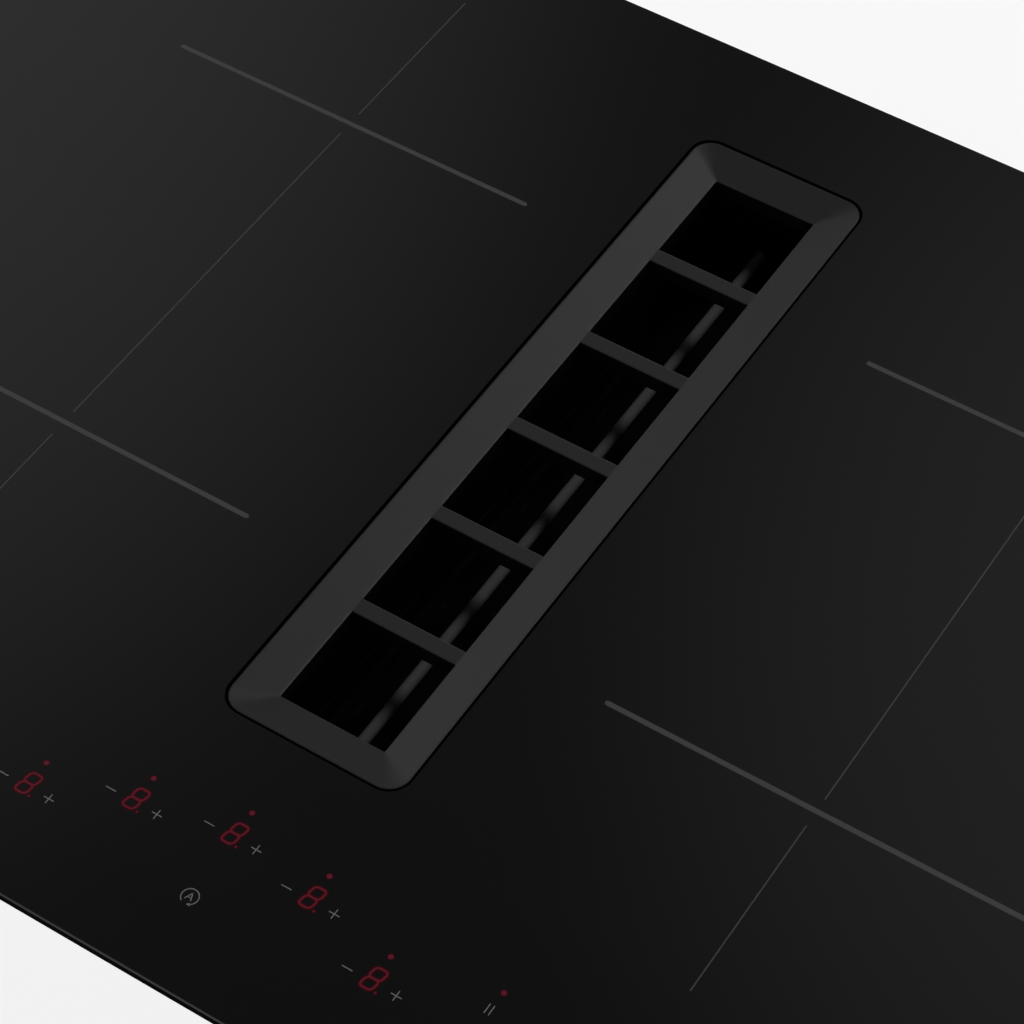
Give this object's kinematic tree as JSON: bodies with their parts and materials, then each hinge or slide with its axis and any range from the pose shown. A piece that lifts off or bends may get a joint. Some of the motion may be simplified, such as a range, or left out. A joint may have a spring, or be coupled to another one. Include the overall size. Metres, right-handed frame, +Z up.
{
  "type": "downdraft induction cooktop",
  "caption": "Built-in induction cooktop with a downdraft inlet in the middle of the glass, lift-off grille, grease filter, drip tray, blower and rear air outlet.",
  "frame": {"origin": "on the worktop's surface, under the middle of the glass panel", "axes": "+X to the user's right along the glass's long side, +Y to the wall behind, +Z up"},
  "size_m": [0.78, 0.52, 0.213],
  "materials": {
    "ceramic_glass": "polished black glass-ceramic",
    "seal_rubber": "black silicone",
    "black_coat": "fine black powder coat",
    "black_moulding": "matt black moulding",
    "dark_satin": "dark satin",
    "stainless": "brushed",
    "zinc_sheet": "zinc coated sheet",
    "steel": "ground",
    "aluminium": "mill finish",
    "winding": "enamelled copper strand",
    "ferrite": "sintered grey",
    "mica": "pressed mica",
    "sensor": "glazed ceramic",
    "board": "solder mask",
    "display": "grey cast resin",
    "grey_moulding": "grey moulding"
  },
  "bodies": {
    "hob": {"glass_panel": "ceramic_glass", "glass_gasket": "seal_rubber", "inlet_chute": "black_moulding", "chute_seal": "seal_rubber", "base_tray": "zinc_sheet", "duct_box": "zinc_sheet", "blower_gasket": "seal_rubber", "blower_scroll": "black_moulding", "blower_top": "zinc_sheet", "shaft_bearings": "steel", "motor_stator": "steel", "motor_bracket": "zinc_sheet", "motor_bushes": "seal_rubber", "outlet_spigot": "black_moulding", "coil_front_left": "winding", "coil_rear_left": "winding", "coil_front_right": "winding", "coil_rear_right": "winding", "coil_carrier_front_left": "black_moulding", "coil_carrier_rear_left": "black_moulding", "coil_carrier_front_right": "black_moulding", "coil_carrier_rear_right": "black_moulding", "ferrite_bars": "ferrite", "mica_sheets": "mica", "coil_sensors": "sensor", "carrier_buffers": "seal_rubber", "support_plates": "aluminium", "plate_posts": "zinc_sheet", "power_board_left": "board", "power_board_right": "board", "heatsink_left": "aluminium", "heatsink_right": "aluminium", "fan_housing_left": "black_moulding", "fan_housing_right": "black_moulding", "mains_board": "board", "control_carrier": "black_moulding", "control_board": "board", "touch_pillars": "seal_rubber", "display_modules": "display", "terminal_box": "grey_moulding", "terminal_block": "grey_moulding", "cable_clamp": "black_moulding", "worktop_clamps": "zinc_sheet", "clamp_screws": "zinc_sheet", "blower_screws": "zinc_sheet"},
    "grille": {"vent_grille": "black_coat", "grille_pads": "seal_rubber"},
    "filter": {"filter_frame": "stainless", "filter_spine": "dark_satin", "filter_mesh_left": "stainless", "filter_mesh_right": "stainless"},
    "drip_tray": {"drip_tray": "stainless"},
    "wheel": {"impeller": "black_moulding", "motor_rotor": "steel", "motor_shaft": "stainless"},
    "fan_left": {"fan_rotor_left": "black_moulding"},
    "fan_right": {"fan_rotor_right": "black_moulding"},
    "flap": {"backdraft_flap": "grey_moulding"},
    "terminal_lid": {"terminal_cover": "grey_moulding"}
  },
  "joints": [
    {"name": "grille_lift", "type": "slide", "parent": "hob", "child": "grille", "axis": [0, 0, 1], "range_m": [0, 0.2]},
    {"name": "filter_lift", "type": "slide", "parent": "hob", "child": "filter", "axis": [0, 0, 1], "range_m": [0, 0.15]},
    {"name": "tray_lift", "type": "slide", "parent": "hob", "child": "drip_tray", "axis": [0, 0, 1], "range_m": [0, 0.12]},
    {"name": "wheel_spin", "type": "hinge", "parent": "hob", "child": "wheel", "pos_m": [0, 0.0278, -0.15], "axis": [0, 0, 1], "continuous": true},
    {"name": "fan_left_spin", "type": "hinge", "parent": "hob", "child": "fan_left", "pos_m": [-0.306, 0.118, -0.04], "axis": [0, 0, 1], "continuous": true},
    {"name": "fan_right_spin", "type": "hinge", "parent": "hob", "child": "fan_right", "pos_m": [0.306, 0.118, -0.04], "axis": [0, 0, 1], "continuous": true},
    {"name": "flap_swing", "type": "hinge", "parent": "hob", "child": "flap", "pos_m": [0.1071, 0.186, -0.1265], "axis": [1, 0, 0], "range_deg": [0, 60]},
    {"name": "terminal_lid_swing", "type": "hinge", "parent": "hob", "child": "terminal_lid", "pos_m": [0.29, 0.2356, -0.053], "axis": [1, 0, 0], "range_deg": [0, 88]}
  ],
  "couplings": [
    {"joint": "filter_lift", "follows": "grille_lift", "ratio": 0.75},
    {"joint": "tray_lift", "follows": "grille_lift", "ratio": 0.6}
  ]
}
